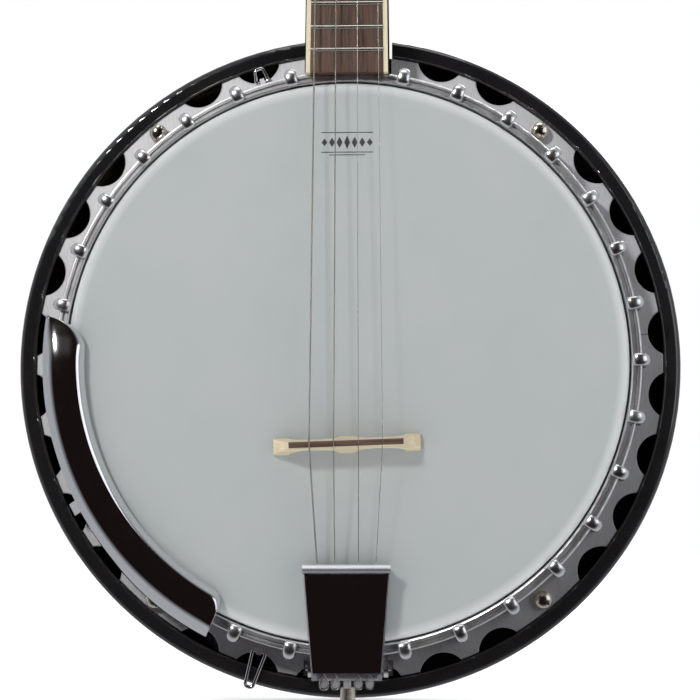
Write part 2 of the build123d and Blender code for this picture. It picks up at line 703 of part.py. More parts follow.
def wood_behind(s):
    """Depth of the neck's wood behind the board: an even taper, and the heel's swell."""
    slim = 18.4 - 2.8 * max(s, 0) / NUT_S
    along = min(max((HEEL_START_S - s) / (HEEL_START_S - 6.0), 0.0), 1.0)
    return slim + HEEL_EXTRA * along * along * (3 - 2 * along)


heel_stops = [HEEL_END_S + (HEEL_START_S - HEEL_END_S) * k / HEEL_STEPS for k in range(HEEL_STEPS + 1)]
NECK_STOPS = heel_stops + [NUT_S + NUT_LONG]
PEG_TILT_ALL = NECK_TILT + PEG_TILT
peg = radians(PEG_TILT_ALL)
PEG_ORIGIN = NECK.from_local_coords(Vector(0, NUT_S + NUT_LONG, -BOARD_T + 0.2))
PEG = Plane(origin=PEG_ORIGIN, x_dir=(1, 0, 0), z_dir=(0, -cos(peg), sin(peg)))
PEG_SIDE = ((16.4, -3.0), (18.6, 10.0), (30.5, 24.0), (35.5, 44.0), (33.0, 76.0), (34.0, 108.0),
            (38.5, 140.0), (35.0, 156.0))
PEG_TOP = ((35.0, 156.0), (24.0, 158.0), (12.0, 164.0), (0.0, PEG_LENGTH))


def peg_outline():
    """The peghead's outline: the right half and its mirror image."""
    with BuildSketch() as outline:
        with BuildLine():
            Spline(*PEG_SIDE)
            Spline(*PEG_TOP)
            Line((0, PEG_SIDE[0][1]), PEG_SIDE[0])
            mirror(about=Plane.YZ)
        make_face()
    return outline.sketch


with BuildPart() as neck:
    for s in NECK_STOPS:
        half = board_width(max(s, 0)) / 2 + NECK_LIP
        wood = wood_behind(s)
        turns = [radians(20 * k) for k in range(10)]
        with BuildSketch(cross_plane(s)):
            with BuildLine():
                Line((-half, BOARD_T), (half, BOARD_T))
                Spline(*[(half * cos(a), BOARD_T + wood * sin(a)) for a in turns])
            make_face()
    loft(ruled=True)
    with BuildSketch(PEG.offset(-VENEER_T)):
        add(peg_outline())
    extrude(amount=-PEG_T)
    # room for the hoop, and the heel's end that sits on the rim
    add(ring(box_section(0, RIM_R + 0.05, 0, 120)), mode=Mode.SUBTRACT)
    add(ring(box_section(0, HOOP_OUT + 0.6, FLESH_BACK - 0.6, 120)), mode=Mode.SUBTRACT)
    # bed for the veneer, level with the peghead's face
    with BuildSketch(PEG.offset(-VENEER_T)):
        with Locations((0, 4.0)):
            Rectangle(60, 7.6)
    extrude(amount=12, mode=Mode.SUBTRACT)
    # tuner holes
    with BuildSketch(PEG.offset(1)):
        with Locations(*TUNER_SPOTS):
            Circle(4.1)
    extrude(amount=-30, mode=Mode.SUBTRACT)
    # channel for the truss rod, with its mouth behind the nut
    with BuildSketch(on_board(-BOARD_T)):
        with Locations((0, 210.0)):
            Rectangle(6.2, 2 * (NUT_S - 196.0))
    extrude(amount=-9.0, mode=Mode.SUBTRACT)
save(neck, "neck")

with BuildPart() as fingerboard:
    with BuildSketch(on_board(-BOARD_T)):
        add(taper(BINDING_W))
    extrude(amount=BOARD_T)
    for number in range(1, FRET_COUNT + 1):
        with BuildSketch(on_board(-1.6)):
            with Locations((0, fret_s(number))):
                Rectangle(60, 0.6)
        extrude(amount=2, mode=Mode.SUBTRACT)
    with BuildSketch(on_board(-1.2)):
        for number in (3, 5, 7, 10, 12, 15, 17):
            spot = (fret_s(number) + fret_s(number - 1)) / 2
            places = [(-6.5, spot), (6.5, spot)] if number == 12 else [(0, spot)]
            with Locations(*places):
                Circle(3.0)
    extrude(amount=2, mode=Mode.SUBTRACT)
save(fingerboard, "fingerboard")

with BuildPart() as board_binding:
    with BuildSketch(on_board(-BOARD_T)):
        add(taper(0))
        add(taper(BINDING_W, beyond=1.0), mode=Mode.SUBTRACT)
    extrude(amount=BOARD_T)
save(board_binding, "board_binding")

with BuildPart() as frets:
    for number in range(1, FRET_COUNT + 1):
        reach = board_width(fret_s(number)) / 2 - BINDING_W - 0.05
        with BuildSketch(Plane(origin=NECK.from_local_coords(Vector(-reach, fret_s(number), 0)),
                               x_dir=NECK.y_dir, z_dir=(1, 0, 0))):
            with BuildLine():
                ThreePointArc((-1.0, 0), (0, 0.95), (1.0, 0))
                Polyline((1.0, 0), (0.28, 0), (0.28, -1.5), (-0.28, -1.5), (-0.28, 0), (-1.0, 0))
            make_face()
        extrude(amount=2 * reach)
save(frets, "frets")

with BuildPart() as fret_markers:
    with BuildSketch(on_board(-1.2)):
        for number in (3, 5, 7, 10, 12, 15, 17):
            spot = (fret_s(number) + fret_s(number - 1)) / 2
            places = [(-6.5, spot), (6.5, spot)] if number == 12 else [(0, spot)]
            with Locations(*places):
                Circle(3.0)
    extrude(amount=1.2)
save(fret_markers, "fret_markers")

NUT_TOP = 2.2
NUT_SLOT_H = 0.75
NUT_CROWN = 0.8
NUT_FLARE = 1.8
with BuildPart() as nut:
    with BuildSketch(on_board(-BOARD_T)):
        with Locations((0, NUT_S + NUT_LONG / 2)):
            Rectangle(BOARD_NUT_W + 0.6, NUT_LONG - 0.1)
    extrude(amount=BOARD_T + NUT_TOP)
    fillet(nut.edges().filter_by(Axis.X).sort_by(Axis.Z)[-1], 1.4)
    # each slot carries its string over the front edge, and widens and falls away behind it
    for x, radius in zip(NUT_XS, STRING_RS):
        with BuildSketch(on_board(NUT_SLOT_H)):
            with Locations((x, NUT_S + NUT_LONG / 2)):
                Rectangle(2 * radius + 0.12, 3 * NUT_LONG)
        extrude(amount=5, mode=Mode.SUBTRACT)
        with BuildSketch(on_board(NUT_SLOT_H - 1.3)):
            with Locations((x, NUT_S + NUT_CROWN + NUT_LONG)):
                Rectangle(2 * radius + NUT_FLARE, 2 * NUT_LONG)
        extrude(amount=5, mode=Mode.SUBTRACT)
save(nut, "nut")

with BuildPart() as headstock_veneer:
    with BuildSketch(PEG.offset(-VENEER_T)):
        add(peg_outline())
        with Locations((0, -2.0)):
            Rectangle(60, 4.4, mode=Mode.SUBTRACT)
        with Locations(*TUNER_SPOTS):
            Circle(5.6, mode=Mode.SUBTRACT)
    extrude(amount=VENEER_T)
save(headstock_veneer, "headstock_veneer")

# ---- Truss rod in the neck, with its cover and screws ----

with BuildPart() as truss_rod:
    with BuildSketch(cross_plane(16.0)):
        with Locations((0, BOARD_T + 4.0)):
            Circle(2.6)
    extrude(amount=NUT_S - 30.0)
    with BuildSketch(cross_plane(NUT_S - 14.0)):
        with Locations((0, BOARD_T + 4.0)):
            RegularPolygon(2.6, 6, major_radius=False)
    extrude(amount=9.0)
save(truss_rod, "truss_rod")

COVER_LOW = 2.0
COVER_LONG = 30.0
with BuildPart() as truss_cover:
    with BuildSketch(PEG):
        with BuildLine():
            Polyline((-9.0, COVER_LOW), (9.0, COVER_LOW), (8.0, COVER_LOW + 10))
            Spline((8.0, COVER_LOW + 10), (4.5, COVER_LOW + 20), (0, COVER_LOW + COVER_LONG),
                   (-4.5, COVER_LOW + 20), (-8.0, COVER_LOW + 10))
            Line((-8.0, COVER_LOW + 10), (-9.0, COVER_LOW))
        make_face()
    extrude(amount=1.8)
    chamfer(truss_cover.faces().sort_by(Axis.Y)[0].edges(), 0.4)
save(truss_cover, "truss_cover")

HOUSING_W = 14.0
HOUSING_H = 22.0
HOUSING_DEEP = 9.0
HOUSING_FRONT = -(VENEER_T + PEG_T)
WORM_DROP = 6.6
WORM_H = HOUSING_FRONT - 5.0
side_of = [1 if x > 0 else -1 for x, v in TUNER_SPOTS]

with BuildPart() as headstock_screws:
    for v in (COVER_LOW + 4.0, COVER_LOW + 23.0):
        with BuildSketch(PEG.offset(1.4)):
            with Locations((0, v)):
                Circle(1.7)
        extrude(amount=1.0)
        with BuildSketch(PEG.offset(-5.0)):
            with Locations((0, v)):
                Circle(0.8)
        extrude(amount=6.5)
    for (x, v), side in zip(TUNER_SPOTS, side_of):
        with BuildSketch(PEG.offset(HOUSING_FRONT - 2.0)):
            with Locations((x - side * 2.0, v + 11.0)):
                Circle(2.0)
        extrude(amount=-1.2)
        with BuildSketch(PEG.offset(HOUSING_FRONT - 2.4)):
            with Locations((x - side * 2.0, v + 11.0)):
                Circle(1.1)
        extrude(amount=9.0)
save(headstock_screws, "headstock_screws")

# ---- Tuners: sealed worm gears behind the peghead ----

POST_R = 3.0
SHAFT_R = 1.9
GEAR_H = 4.2
GEAR_R = 3.9
POST_FRONT = 17.0
BUTTON_X = 47.0


def gear_face():
    """The worm wheel's outline: a disc with fourteen notches."""
    with BuildSketch() as outline:
        Circle(GEAR_R)
        with PolarLocations(GEAR_R, 14):
            Circle(0.42, mode=Mode.SUBTRACT)
    return outline.sketch


with BuildPart() as tuner_housings:
    for (x, v), side in zip(TUNER_SPOTS, side_of):
        middle = v - 3.6
        with BuildSketch(PEG.offset(HOUSING_FRONT)):
            with Locations((x, middle)):
                RectangleRounded(HOUSING_W, HOUSING_H, 4.0)
            with Locations((x - side * 2.0, v + 11.0)):
                Circle(3.8)
            with Locations((x - side * 1.0, v + 7.0)):
                Rectangle(6.0, 8.0)
        extrude(amount=-2.0)
        with BuildSketch(PEG.offset(HOUSING_FRONT - 2.0)):
            with Locations((x, middle)):
                RectangleRounded(HOUSING_W, HOUSING_H, 4.0)
        extrude(amount=-(HOUSING_DEEP - 2.0))
        # the collar that the button's shaft comes out of
        with BuildSketch(Plane(origin=PEG.from_local_coords(Vector(x + side * HOUSING_W / 2, v - WORM_DROP, WORM_H)),
                               x_dir=PEG.y_dir, z_dir=(side, 0, 0))):
            Circle(3.6)
        extrude(amount=4.0)
    caps = tuner_housings.faces().filter_by(lambda f: abs(f.normal_at().dot(PEG.z_dir) + 1) < 0.001)
    for cap in caps.sort_by(SortBy.AREA)[-4:]:
        fillet(cap.edges(), 1.2)
    for (x, v), side in zip(TUNER_SPOTS, side_of):
        # hollow for the wheel and the worm
        with BuildSketch(PEG.offset(HOUSING_FRONT - 1.6)):
            with Locations((x, v)):
                Circle(GEAR_R + 0.4)
            with Locations((x, v - WORM_DROP)):
                Rectangle(10.6, 5.6)
        extrude(amount=-(HOUSING_DEEP - 2.8), mode=Mode.SUBTRACT)
        with BuildSketch(PEG.offset(HOUSING_FRONT + 1)):
            with Locations((x, v)):
                Circle(POST_R + RUNNING_FIT)
        extrude(amount=-5.0, mode=Mode.SUBTRACT)
        with BuildSketch(Plane(origin=PEG.from_local_coords(Vector(x, v - WORM_DROP, WORM_H)),
                               x_dir=PEG.y_dir, z_dir=(side, 0, 0))):
            Circle(SHAFT_R + RUNNING_FIT)
        extrude(amount=20, mode=Mode.SUBTRACT)
save(tuner_housings, "tuner_housings")

with BuildPart() as tuner_bushings:
    for x, v in TUNER_SPOTS:
        with BuildSketch(PEG.offset(-12.0)):
            with Locations((x, v)):
                Circle(4.0)
                Circle(POST_R + RUNNING_FIT, mode=Mode.SUBTRACT)
        extrude(amount=12.0)
        with BuildSketch(PEG.offset(0)):
            with Locations((x, v)):
                Circle(6.4)
                Circle(POST_R + RUNNING_FIT, mode=Mode.SUBTRACT)
        extrude(amount=0.9)
        with BuildSketch(PEG.offset(0.9)):
            with Locations((x, v)):
                RegularPolygon(4.9, 6, major_radius=False)
                Circle(POST_R + RUNNING_FIT, mode=Mode.SUBTRACT)
        extrude(amount=2.4)
save(tuner_bushings, "tuner_bushings")

for number, ((x, v), side) in enumerate(zip(TUNER_SPOTS, side_of), start=1):
    with BuildPart() as tuner_post:
        with BuildSketch(PEG.offset(HOUSING_FRONT - 6.6)):
            with Locations((x, v)):
                Circle(POST_R)
        extrude(amount=POST_FRONT - HOUSING_FRONT + 6.6)
        fillet(tuner_post.edges().group_by(Axis.Y)[0], 0.6)
        # waist where the string winds, and the hole it goes through
        waist = PEG.offset(9.0)
        with BuildSketch(waist):
            with Locations((x, v)):
                Circle(POST_R + 1)
                Circle(POST_R - 0.5, mode=Mode.SUBTRACT)
        extrude(amount=4.5, mode=Mode.SUBTRACT)
        with BuildSketch(Plane(origin=PEG.from_local_coords(Vector(x - 5, v, 11.2)), x_dir=PEG.y_dir,
                               z_dir=(1, 0, 0))):
            Circle(0.7)
        extrude(amount=10, mode=Mode.SUBTRACT)
        with BuildSketch(PEG.offset(HOUSING_FRONT - 6.6)):
            with Locations((x, v)):
                add(gear_face())
        extrude(amount=GEAR_H)
    save(tuner_post, f"tuner_post_{number}")

    shaft_plane = Plane(origin=PEG.from_local_coords(Vector(x, v - WORM_DROP, WORM_H)), x_dir=PEG.y_dir,
                        z_dir=(side, 0, 0))
    with BuildPart() as tuner_worm:
        with BuildSketch(shaft_plane.offset(-4.6)):
            Circle(SHAFT_R)
        extrude(amount=BUTTON_X - abs(x) + 4.6)
        for turn in range(5):
            with BuildSketch(shaft_plane.offset(-3.9 + 1.7 * turn)):
                Circle(2.5)
            extrude(amount=0.7)
    save(tuner_worm, f"tuner_worm_{number}")

    with BuildPart() as tuner_button:
        with BuildSketch(shaft_plane.offset(BUTTON_X - abs(x) + 5.0)):
            Ellipse(9.0, 3.6)
        extrude(amount=4.0, both=True)
        with BuildSketch(shaft_plane.offset(BUTTON_X - abs(x) - 3.0)):
            Circle(3.0)
        extrude(amount=5.0)
        fillet(tuner_button.edges().filter_by(GeomType.ELLIPSE), 0.9)
        with BuildSketch(shaft_plane):
            Circle(SHAFT_R)
        extrude(amount=BUTTON_X - abs(x), mode=Mode.SUBTRACT)
    save(tuner_button, f"tuner_button_{number}")

# ---- Strings: whole taut wires from the comb to the posts ----

STRING_CLEAR = 0.12
for number in range(4):
    radius = STRING_RS[number]
    bend = 6.0
    tooth_x = TOOTH_XS[STRING_TEETH[number]]
    x_at_bar = tooth_x + (BRIDGE_XS[number] - tooth_x) * (BAR_Z - COMB_Z) / (BRIDGE_Z - COMB_Z)
    tuner_x, tuner_v = TUNER_SPOTS[number]
    reach = POST_R - 0.5 + radius + BODY_GAP
    inner_x = tuner_x - side_of[number] * reach
    tail = Vector(tooth_x, -(COMB_FRONT + radius + STRING_CLEAR), COMB_Z)
    under_bar = Vector(x_at_bar, -(BAR_DEPTH - BAR_R - radius - STRING_CLEAR), BAR_Z)
    over_bridge = Vector(BRIDGE_XS[number], -(CAP_FRONT + radius + 0.02), BRIDGE_Z)
    in_nut = NECK.from_local_coords(Vector(NUT_XS[number], NUT_S + 1.2, 0.97 + radius))
    at_post = PEG.from_local_coords(Vector(inner_x, tuner_v, 11.2))
    with BuildPart() as string:
        with BuildLine():
            FilletPolyline(tail, under_bar, over_bridge, in_nut, at_post, radius=bend)
        start = (under_bar - tail).normalized()
        with BuildSketch(Plane(origin=tail, z_dir=start)):
            Circle(radius)
        sweep()
    save(string, f"string_{number + 1}")
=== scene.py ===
# %% [markdown]
# # A resonator banjo
#
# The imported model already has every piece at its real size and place, with +Z up the neck and -Y out of the
# playing face. This script gives the pieces their finishes, and makes the small ones that a solid modeller
# leaves plain: knurled screws, wound strings and their loops, and the string wound on each tuner post.

# %% Load the frame
import json
import math

import bmesh
import bpy
from mathutils import Matrix, Vector


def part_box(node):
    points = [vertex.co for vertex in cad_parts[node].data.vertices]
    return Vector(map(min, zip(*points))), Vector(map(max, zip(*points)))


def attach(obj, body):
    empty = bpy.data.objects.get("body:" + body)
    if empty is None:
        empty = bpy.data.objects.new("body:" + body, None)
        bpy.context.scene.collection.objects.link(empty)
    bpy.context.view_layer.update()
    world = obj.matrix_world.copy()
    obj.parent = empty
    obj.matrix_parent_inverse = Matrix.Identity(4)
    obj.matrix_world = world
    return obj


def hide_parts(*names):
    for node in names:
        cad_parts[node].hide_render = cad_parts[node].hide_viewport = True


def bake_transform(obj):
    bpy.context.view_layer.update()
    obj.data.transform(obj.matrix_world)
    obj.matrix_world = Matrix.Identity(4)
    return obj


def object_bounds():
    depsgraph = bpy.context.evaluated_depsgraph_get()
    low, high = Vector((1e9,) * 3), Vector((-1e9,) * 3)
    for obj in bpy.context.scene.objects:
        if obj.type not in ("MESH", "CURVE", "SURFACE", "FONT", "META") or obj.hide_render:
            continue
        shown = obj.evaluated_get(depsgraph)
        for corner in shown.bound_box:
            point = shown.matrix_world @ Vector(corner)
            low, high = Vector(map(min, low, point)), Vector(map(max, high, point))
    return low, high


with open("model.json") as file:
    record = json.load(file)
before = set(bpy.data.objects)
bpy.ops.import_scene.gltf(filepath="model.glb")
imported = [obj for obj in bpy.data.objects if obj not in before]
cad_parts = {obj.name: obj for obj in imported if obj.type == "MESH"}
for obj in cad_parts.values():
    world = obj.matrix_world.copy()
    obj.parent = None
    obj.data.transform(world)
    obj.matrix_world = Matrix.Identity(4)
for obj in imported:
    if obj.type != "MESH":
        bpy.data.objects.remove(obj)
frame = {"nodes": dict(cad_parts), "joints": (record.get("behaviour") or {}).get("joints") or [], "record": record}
cad_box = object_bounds()
nodes = frame["nodes"]
joints = {joint["name"]: joint for joint in frame["joints"]}
MM = 0.001
print("pieces in the frame:", len(nodes))

# %% [markdown]
# ## Effects that several finishes share
#
# Real surfaces are never one even value. Three effects come back on almost everything here, so each is a node
# group that is built once: the faint smears and hairlines left by handling, the fine grain of a sprayed or
# stamped surface, and the streaks and pores of wood. They could be image textures, but noise in the object's
# own coordinates has no seams, stays at real scale, and needs no unwrapping.

# %% A small helper for node groups
def effect_group(name, inputs, outputs):
    """An empty shader group with float inputs (name: default), a Vector input, and named float outputs."""
    group = bpy.data.node_groups.new(name, "ShaderNodeTree")
    group.interface.new_socket("Vector", in_out="INPUT", socket_type="NodeSocketVector")
    for title, value in inputs.items():
        socket = group.interface.new_socket(title, in_out="INPUT", socket_type="NodeSocketFloat")
        socket.default_value = value
    for title in outputs:
        group.interface.new_socket(title, in_out="OUTPUT", socket_type="NodeSocketFloat")
    return group, group.nodes.new("NodeGroupInput"), group.nodes.new("NodeGroupOutput")


def noise(tree, vector, scale, detail=3.0, roughness=0.55):
    """A noise texture; scale is a number or a socket, in features per metre."""
    texture = tree.nodes.new("ShaderNodeTexNoise")
    texture.inputs["Detail"].default_value = detail
    texture.inputs["Roughness"].default_value = roughness
    tree.links.new(vector, texture.inputs["Vector"])
    if hasattr(scale, "is_output"):
        tree.links.new(scale, texture.inputs["Scale"])
    else:
        texture.inputs["Scale"].default_value = scale
    return texture.outputs["Fac"]


def blend_range(tree, value, low, high, to_low=0.0, to_high=1.0):
    """Maps low..high of a value to to_low..to_high, clamped."""
    node = tree.nodes.new("ShaderNodeMapRange")
    node.inputs["From Min"].default_value = low
    node.inputs["From Max"].default_value = high
    node.inputs["To Min"].default_value = to_low
    node.inputs["To Max"].default_value = to_high
    tree.links.new(value, node.inputs["Value"])
    return node.outputs["Result"]


def stretched(tree, vector, factors):
    """The same coordinates, with each axis scaled: a small factor draws a pattern out along that axis."""
    node = tree.nodes.new("ShaderNodeVectorMath")
    node.operation = "MULTIPLY"
    node.inputs[1].default_value = factors
    tree.links.new(vector, node.inputs[0])
    return node.outputs["Vector"]


# %% Handling: smears and hairlines
handling, start, end = effect_group("handling", {"Smear Scale": 60.0}, ("Smear", "Hairline"))
smear = noise(handling, start.outputs["Vector"], start.outputs["Smear Scale"], 4.0)
handling.links.new(blend_range(handling, smear, 0.42, 0.68), end.inputs["Smear"])
drawn = stretched(handling, start.outputs["Vector"], (1.0, 1.0, 0.06))
hairline = noise(handling, drawn, 2600.0, 2.0)
handling.links.new(blend_range(handling, hairline, 0.45, 0.75), end.inputs["Hairline"])

# %% Fine grain: sprayed coats, stamped and plated metal
fine_grain, start, end = effect_group("fine_grain", {"Grain Scale": 2500.0}, ("Grain", "Cloud"))
grain = noise(fine_grain, start.outputs["Vector"], start.outputs["Grain Scale"], 2.0)
cloud = noise(fine_grain, start.outputs["Vector"], 22.0, 3.0)
fine_grain.links.new(grain, end.inputs["Grain"])
fine_grain.links.new(blend_range(fine_grain, cloud, 0.3, 0.7), end.inputs["Cloud"])

# %% Timber: streaks and pores, drawn out along whichever axis the material has stretched
timber, start, end = effect_group("timber", {"Streak Scale": 420.0}, ("Streak", "Broad", "Pores"))
streak = noise(timber, start.outputs["Vector"], start.outputs["Streak Scale"], 5.0, 0.62)
broad = noise(timber, start.outputs["Vector"], 90.0, 3.0)
pores = noise(timber, start.outputs["Vector"], 2300.0, 2.0)
timber.links.new(blend_range(timber, streak, 0.35, 0.66), end.inputs["Streak"])
timber.links.new(blend_range(timber, broad, 0.35, 0.65), end.inputs["Broad"])
timber.links.new(blend_range(timber, pores, 0.56, 0.7), end.inputs["Pores"])
print("effect groups:", [group.name for group in bpy.data.node_groups])


# %% Start of a finish
def finish(name, color, roughness, metallic=0.0, coat=0.0, specular=0.5):
    """A material with its Principled shader set, and the object's own coordinates ready for its effects."""
    material = bpy.data.materials.new(name)
    material.use_nodes = True
    tree = material.node_tree
    shader = tree.nodes["Principled BSDF"]
    shader.inputs["Base Color"].default_value = (*color, 1.0)
    shader.inputs["Roughness"].default_value = roughness
    shader.inputs["Metallic"].default_value = metallic
    shader.inputs["Coat Weight"].default_value = coat
    shader.inputs["Specular IOR Level"].default_value = specular
    where = tree.nodes.new("ShaderNodeTexCoord").outputs["Object"]
    return material, tree, shader, where


def effect(tree, group, vector, **values):
    """One of the shared groups, placed in a material with its own values."""
    node = tree.nodes.new("ShaderNodeGroup")
    node.node_tree = group
    tree.links.new(vector, node.inputs["Vector"])
    for title, value in values.items():
        node.inputs[title.replace("_", " ")].default_value = value
    return node.outputs


def bump(tree, shader, height, depth, strength=1.0):
    """Raises the surface by depth metres where height is 1."""
    node = tree.nodes.new("ShaderNodeBump")
    node.inputs["Distance"].default_value = depth
    node.inputs["Strength"].default_value = strength
    tree.links.new(height, node.inputs["Height"])
    tree.links.new(node.outputs["Normal"], shader.inputs["Normal"])


def color_mix(tree, factor, low, high):
    """A colour between low and high, each a colour or a colour socket."""
    node = tree.nodes.new("ShaderNodeMix")
    node.data_type = "RGBA"
    tree.links.new(factor, node.inputs[0])
    for socket, color in ((node.inputs[6], low), (node.inputs[7], high)):
        if hasattr(color, "is_output"):
            tree.links.new(color, socket)
        else:
            socket.default_value = (*color, 1.0)
    return node.outputs[2]


# %% [markdown]
# ## Metal
#
# Chrome plate is a mirror with a faint blue cast. What tells it from a perfect mirror is handling: smears
# that dull it in patches. The hoop, the hooks and the tailpiece's base are buffed, so they are less sharp.
# Nickel is warmer and softer. The stamped flange is satin: it has a fine grain and spreads its highlights.

# %% Plated and plain metals
def metal(name, color, roughness, dulled, grain_depth=0.0, grain_scale=2500.0):
    """Metal whose roughness runs from roughness to dulled where it has been touched."""
    material, tree, shader, where = finish(name, color, roughness, metallic=1.0)
    touched = effect(tree, handling, where)
    value = blend_range(tree, touched["Smear"], 0.0, 1.0, roughness, dulled)
    tree.links.new(value, shader.inputs["Roughness"])
    tone = tuple(channel * 0.86 for channel in color)
    tree.links.new(color_mix(tree, touched["Hairline"], color, tone), shader.inputs["Base Color"])
    if grain_depth:
        bump(tree, shader, effect(tree, fine_grain, where, Grain_Scale=grain_scale)["Grain"], grain_depth)
    return material


chrome = metal("chrome_plate", (0.80, 0.81, 0.83), 0.05, 0.11)
hoop_chrome = metal("hoop_chrome", (0.90, 0.90, 0.92), 0.34, 0.42)
hook_chrome = metal("hook_chrome", (0.88, 0.88, 0.90), 0.22, 0.30)
satin_chrome = metal("satin_chrome", (0.86, 0.86, 0.91), 0.46, 0.54)
satin_nickel = metal("satin_nickel", (0.80, 0.80, 0.82), 0.56, 0.62, 6e-6)
warm_nickel = metal("warm_nickel", (0.80, 0.75, 0.66), 0.14, 0.24)
zinc_steel = metal("zinc_steel", (0.56, 0.56, 0.57), 0.30, 0.42, 5e-6)
ring_brass = metal("ring_brass", (0.72, 0.55, 0.27), 0.20, 0.34)
fret_nickel = metal("fret_nickel", (0.80, 0.77, 0.70), 0.20, 0.32)
mill_aluminium = metal("mill_aluminium", (0.74, 0.74, 0.75), 0.28, 0.38, 4e-6)
plain_wire = metal("plain_wire", (0.66, 0.63, 0.58), 0.22, 0.30)
print("metals ready")

# %% [markdown]
# A wound string is a steel core with a finer wire wrapped round it. The wrap is a fifth of a millimetre wide,
# so it is drawn as a wave along the string: real turns would be thousands of faces that no view can show.

# %% Wound wire
wound_wire, tree, shader, where = finish("wound_wire", (0.60, 0.56, 0.50), 0.28, metallic=1.0)
turns = tree.nodes.new("ShaderNodeTexWave")
turns.bands_direction = "Z"
turns.inputs["Scale"].default_value = 800.0
tree.links.new(where, turns.inputs["Vector"])
# The colour runs dark in the grooves between the turns: this is painted shade there.
turns_with_painted_shade = color_mix(tree, turns.outputs["Fac"], (0.26, 0.24, 0.21), (0.70, 0.66, 0.58))
tree.links.new(turns_with_painted_shade, shader.inputs["Base Color"])
bump(tree, shader, turns.outputs["Fac"], 5e-5)

# %% [markdown]
# ## Lacquer, plastic and bone
#
# The resonator and the neck are sprayed black and polished. The coat is never quite flat, so a very low, wide
# ripple breaks up its reflections, and handling leaves it slightly dull in patches.

# %% Glossy finishes
def polished(name, color, roughness, coat, ripple=2e-6, cloud_color=None):
    """A polished, sprayed or cast finish, with slow ripples and, if named, a second colour in soft clouds."""
    material, tree, shader, where = finish(name, color, roughness, coat=coat)
    shader.inputs["Coat Roughness"].default_value = 0.03
    touched = effect(tree, handling, where, Smear_Scale=40.0)
    value = blend_range(tree, touched["Smear"], 0.0, 1.0, roughness, roughness + 0.08)
    tree.links.new(value, shader.inputs["Roughness"])
    grain = effect(tree, fine_grain, where, Grain_Scale=260.0)
    bump(tree, shader, grain["Grain"], ripple)
    if cloud_color:
        tree.links.new(color_mix(tree, grain["Cloud"], color, cloud_color), shader.inputs["Base Color"])
    return material


black_lacquer = polished("black_lacquer", (0.010, 0.010, 0.011), 0.10, 1.0, 1e-5, (0.014, 0.013, 0.014))
black_plastic = polished("black_plastic", (0.020, 0.020, 0.021), 0.24, 0.2, 4e-6, (0.026, 0.026, 0.027))
cream_binding = polished("cream_binding", (0.78, 0.70, 0.52), 0.26, 0.5, 4e-6, (0.70, 0.62, 0.45))
polished_bone = polished("polished_bone", (0.80, 0.76, 0.64), 0.28, 0.4, 4e-6, (0.70, 0.65, 0.52))

# %% Pearloid: bright flakes with soft edges
pearloid, tree, shader, where = finish("pearloid", (0.80, 0.80, 0.76), 0.16, coat=1.0)
flakes = tree.nodes.new("ShaderNodeTexVoronoi")
flakes.inputs["Scale"].default_value = 320.0
tree.links.new(where, flakes.inputs["Vector"])
shimmer = blend_range(tree, flakes.outputs["Distance"], 0.1, 0.75)
tree.links.new(color_mix(tree, shimmer, (0.86, 0.85, 0.80), (0.56, 0.58, 0.57)), shader.inputs["Base Color"])

# %% [markdown]
# ## Wood
#
# The fingerboard's rosewood has dark and reddish streaks along the neck and open pores. The bridge is bare
# maple with a dark cap, and the rim is bent maple, whose streaks run round the drum but are too fine to
# follow, so they run across it.

# %% Three woods
def wood(name, dark, light, broad_color, roughness, along, pore_depth, coat=0.0):
    """Wood whose figure is drawn out along one axis, 0, 1 or 2."""
    material, tree, shader, where = finish(name, light, roughness, coat=coat)
    factors = [1.0, 1.0, 1.0]
    factors[along] = 0.045
    figure = effect(tree, timber, stretched(tree, where, factors))
    base = color_mix(tree, figure["Streak"], dark, light)
    faint = blend_range(tree, figure["Broad"], 0.0, 1.0, 0.0, 0.55)
    tree.links.new(color_mix(tree, faint, base, broad_color), shader.inputs["Base Color"])
    bump(tree, shader, figure["Pores"], -pore_depth)
    return material


rosewood = wood("rosewood", (0.030, 0.014, 0.010), (0.135, 0.066, 0.045), (0.085, 0.060, 0.038),
                0.42, 2, 6e-5)
bare_maple = wood("bare_maple", (0.62, 0.50, 0.31), (0.82, 0.73, 0.55), (0.74, 0.66, 0.49), 0.48, 0, 1e-5)
rim_maple = wood("rim_maple", (0.42, 0.24, 0.11), (0.62, 0.40, 0.21), (0.52, 0.30, 0.15), 0.34, 0, 1e-5, 0.4)
dark_cap = wood("dark_cap", (0.045, 0.022, 0.014), (0.15, 0.085, 0.055), (0.10, 0.05, 0.03), 0.42, 0, 2e-5)

# %% [markdown]
# ## The drum head
#
# The head is clear film with a sprayed, frosted coat. The coat is matt, faintly blue-grey and slightly rough
# to the touch. Over the last millimetres before the hoop, where the film bends down over the tone ring and
# catches more light, its colour is painted lighter: a painted highlight.

# %% Frosted film
frosted_film, tree, shader, where = finish("frosted_film", (0.41, 0.44, 0.44), 0.62, specular=0.35)
coat_grain = effect(tree, fine_grain, where, Grain_Scale=1500.0)
cloudy = color_mix(tree, coat_grain["Cloud"], (0.395, 0.423, 0.427), (0.42, 0.445, 0.445))
flat_place = stretched(tree, where, (1.0, 0.0, 1.0))
distance = tree.nodes.new("ShaderNodeVectorMath")
distance.operation = "LENGTH"
tree.links.new(flat_place, distance.inputs[0])
head_low, head_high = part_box("head")
film_edge = head_high.x
# Painted highlight: the head's colour is painted lighter over the last millimetres before the hoop, where the film
# bends down and catches more light.
painted_highlight_at_edge = blend_range(tree, distance.outputs["Value"], film_edge - 6.0 * MM, film_edge - 1.0 * MM)
tree.links.new(color_mix(tree, painted_highlight_at_edge, cloudy, (0.62, 0.64, 0.64)), shader.inputs["Base Color"])
bump(tree, shader, coat_grain["Grain"], 1.2e-5)
print("head radius, mm:", round(film_edge / MM, 1))

